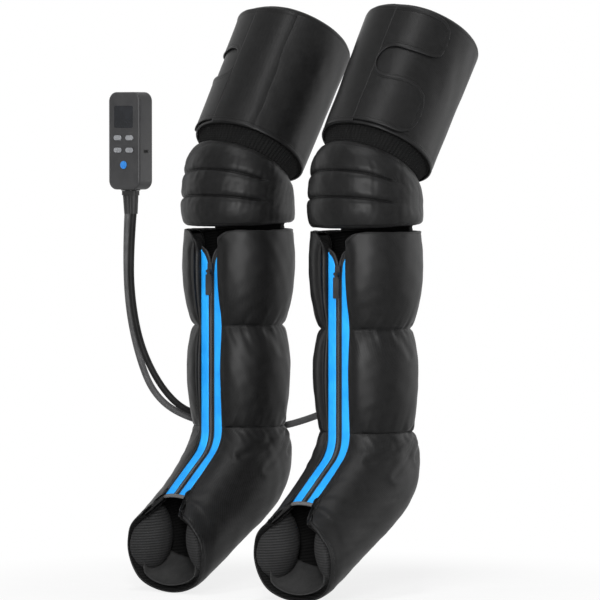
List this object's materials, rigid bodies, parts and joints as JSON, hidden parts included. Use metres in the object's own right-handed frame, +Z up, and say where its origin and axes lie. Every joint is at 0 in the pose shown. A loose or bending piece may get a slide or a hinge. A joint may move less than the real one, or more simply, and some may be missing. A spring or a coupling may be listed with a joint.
{
  "type": "leg compression boots with pump controller",
  "caption": "Full-leg air-compression boots with zip fronts, ridged knee pads, strap-on thigh cuffs, air hoses and a hand-held pump controller with buttons.",
  "frame": {"origin": "centre of the right boot's calf rim, on the calf's axis", "axes": "+Z up along the calves, -Y towards the toes, +X from the right boot to the left one"},
  "size_m": [0.618, 0.4085, 0.9222],
  "materials": {
    "sleeve_fabric": "black woven fabric with a fine grain",
    "mesh_lining": "dark mesh lining",
    "air_chamber": "coated fabric air chamber",
    "placket_strip": "bright blue woven strip",
    "zipper_tape": "black zipper tape and coil",
    "zipper_metal": "satin black painted metal",
    "elastic_band": "ribbed black elastic",
    "flap_fabric": "black hook-and-loop flap",
    "hose_rubber": "matt black rubber hose",
    "fitting_plastic": "matt black moulded fitting",
    "case_plastic": "matt dark grey shell",
    "window_clear": "smoked clear window",
    "key_plastic": "light grey keys",
    "power_key": "blue power key",
    "board_green": "green circuit board",
    "battery_wrap": "blue battery wrap",
    "motor_can": "brushed steel motor can",
    "pump_plastic": "pale moulded pump body",
    "rotor_plastic": "grey moulded rotor",
    "valve_body": "plain aluminium",
    "steel": "bright steel"
  },
  "bodies": {
    "boots": {"right_calf_cover": "sleeve_fabric", "right_calf_lining": "mesh_lining", "right_upper_bladder": "air_chamber", "right_lower_bladder": "air_chamber", "right_foot_cover": "sleeve_fabric", "right_foot_lining": "mesh_lining", "right_foot_bladder": "air_chamber", "right_zip_placket": "placket_strip", "right_zip_tape": "zipper_tape", "right_knee_strap": "elastic_band", "right_hose_port": "fitting_plastic", "right_hose": "hose_rubber", "left_calf_cover": "sleeve_fabric", "left_calf_lining": "mesh_lining", "left_upper_bladder": "air_chamber", "left_lower_bladder": "air_chamber", "left_foot_cover": "sleeve_fabric", "left_foot_lining": "mesh_lining", "left_foot_bladder": "air_chamber", "left_zip_placket": "placket_strip", "left_zip_tape": "zipper_tape", "left_knee_strap": "elastic_band", "left_hose_port": "fitting_plastic", "left_hose": "hose_rubber", "case_front": "case_plastic", "case_back": "case_plastic", "display_window": "window_clear", "circuit_board": "board_green", "battery_pack": "battery_wrap", "pump_motor": "motor_can", "pump_head": "pump_plastic", "valve_block": "valve_body", "hose_socket": "fitting_plastic", "hose_plug": "fitting_plastic", "charge_socket": "fitting_plastic", "case_screws": "steel"},
    "right_knee": {"right_knee_pad": "sleeve_fabric", "right_knee_gaiter": "elastic_band"},
    "right_thigh": {"right_thigh_cuff": "sleeve_fabric", "right_thigh_bladder": "air_chamber"},
    "right_upper_flap": {"right_upper_tab": "flap_fabric"},
    "right_lower_flap": {"right_lower_tab": "flap_fabric"},
    "right_slider": {"right_zip_slider": "zipper_metal"},
    "right_pull": {"right_zip_pull": "zipper_metal"},
    "left_knee": {"left_knee_pad": "sleeve_fabric", "left_knee_gaiter": "elastic_band"},
    "left_thigh": {"left_thigh_cuff": "sleeve_fabric", "left_thigh_bladder": "air_chamber"},
    "left_upper_flap": {"left_upper_tab": "flap_fabric"},
    "left_lower_flap": {"left_lower_tab": "flap_fabric"},
    "left_slider": {"left_zip_slider": "zipper_metal"},
    "left_pull": {"left_zip_pull": "zipper_metal"},
    "power_button_key": {"power_button": "power_key"},
    "mode_button_key": {"mode_button": "key_plastic"},
    "plus_button_key": {"plus_button": "key_plastic"},
    "minus_button_key": {"minus_button": "key_plastic"},
    "heat_button_key": {"heat_button": "key_plastic"},
    "rotor": {"pump_rotor": "rotor_plastic"},
    "right_valve": {"right_plunger": "steel"},
    "left_valve": {"left_plunger": "steel"}
  },
  "joints": [
    {"name": "right_knee_bend", "type": "hinge", "parent": "boots", "child": "right_knee", "pos_m": [0, 0.06, 0.007], "axis": [-1, 0, 0], "range_deg": [-1.5, 20], "deforming": ["right_knee_strap"]},
    {"name": "right_thigh_bend", "type": "hinge", "parent": "right_knee", "child": "right_thigh", "pos_m": [0, 0.0173, 0.1113], "axis": [-1, 0, 0], "range_deg": [-16, 16], "deforming": ["right_knee_gaiter"]},
    {"name": "right_upper_flap_open", "type": "hinge", "parent": "right_thigh", "child": "right_upper_flap", "pos_m": [-0.01305, 0.04373, 0.32221], "axis": [0, 0.5373, 0.8434], "range_deg": [0, 60]},
    {"name": "right_lower_flap_open", "type": "hinge", "parent": "right_thigh", "child": "right_lower_flap", "pos_m": [-0.01305, -0.02585, 0.21299], "axis": [0, 0.5373, 0.8434], "range_deg": [0, 60]},
    {"name": "right_zip", "type": "slide", "parent": "boots", "child": "right_slider", "axis": [0, 0, 1], "range_m": [-0.2, 0]},
    {"name": "right_pull_swing", "type": "hinge", "parent": "right_slider", "child": "right_pull", "pos_m": [0, -0.07475, -0.065], "axis": [-1, 0, 0], "range_deg": [-3, 150]},
    {"name": "left_knee_bend", "type": "hinge", "parent": "boots", "child": "left_knee", "pos_m": [0.258, 0.06, 0.007], "axis": [-1, 0, 0], "range_deg": [-1.5, 20], "deforming": ["left_knee_strap"]},
    {"name": "left_thigh_bend", "type": "hinge", "parent": "left_knee", "child": "left_thigh", "pos_m": [0.258, 0.0173, 0.1113], "axis": [-1, 0, 0], "range_deg": [-16, 16], "deforming": ["left_knee_gaiter"]},
    {"name": "left_upper_flap_open", "type": "hinge", "parent": "left_thigh", "child": "left_upper_flap", "pos_m": [0.27105, 0.04373, 0.32221], "axis": [0, -0.5373, -0.8434], "range_deg": [0, 60]},
    {"name": "left_lower_flap_open", "type": "hinge", "parent": "left_thigh", "child": "left_lower_flap", "pos_m": [0.27105, -0.02585, 0.21299], "axis": [0, -0.5373, -0.8434], "range_deg": [0, 60]},
    {"name": "left_zip", "type": "slide", "parent": "boots", "child": "left_slider", "axis": [0, 0, 1], "range_m": [-0.2, 0]},
    {"name": "left_pull_swing", "type": "hinge", "parent": "left_slider", "child": "left_pull", "pos_m": [0.258, -0.07475, -0.065], "axis": [-1, 0, 0], "range_deg": [-3, 150]},
    {"name": "power_button_press", "type": "slide", "parent": "boots", "child": "power_button_key", "axis": [0, 1, 0], "range_m": [0, 0.0008], "stiffness_N_per_m": 500, "springref_m": -0.0004},
    {"name": "mode_button_press", "type": "slide", "parent": "boots", "child": "mode_button_key", "axis": [0, 1, 0], "range_m": [0, 0.0008], "stiffness_N_per_m": 500, "springref_m": -0.0004},
    {"name": "plus_button_press", "type": "slide", "parent": "boots", "child": "plus_button_key", "axis": [0, 1, 0], "range_m": [0, 0.0008], "stiffness_N_per_m": 500, "springref_m": -0.0004},
    {"name": "minus_button_press", "type": "slide", "parent": "boots", "child": "minus_button_key", "axis": [0, 1, 0], "range_m": [0, 0.0008], "stiffness_N_per_m": 500, "springref_m": -0.0004},
    {"name": "heat_button_press", "type": "slide", "parent": "boots", "child": "heat_button_key", "axis": [0, 1, 0], "range_m": [0, 0.0008], "stiffness_N_per_m": 500, "springref_m": -0.0004},
    {"name": "rotor_spin", "type": "hinge", "parent": "boots", "child": "rotor", "pos_m": [-0.236, 0.0132, 0.1], "axis": [0, 0, 1], "continuous": true},
    {"name": "right_valve_lift", "type": "slide", "parent": "boots", "child": "right_valve", "axis": [0, 0, 1], "range_m": [0, 0.0015], "stiffness_N_per_m": 150, "springref_m": -0.001},
    {"name": "left_valve_lift", "type": "slide", "parent": "boots", "child": "left_valve", "axis": [0, 0, 1], "range_m": [0, 0.0015], "stiffness_N_per_m": 150, "springref_m": -0.001}
  ]
}
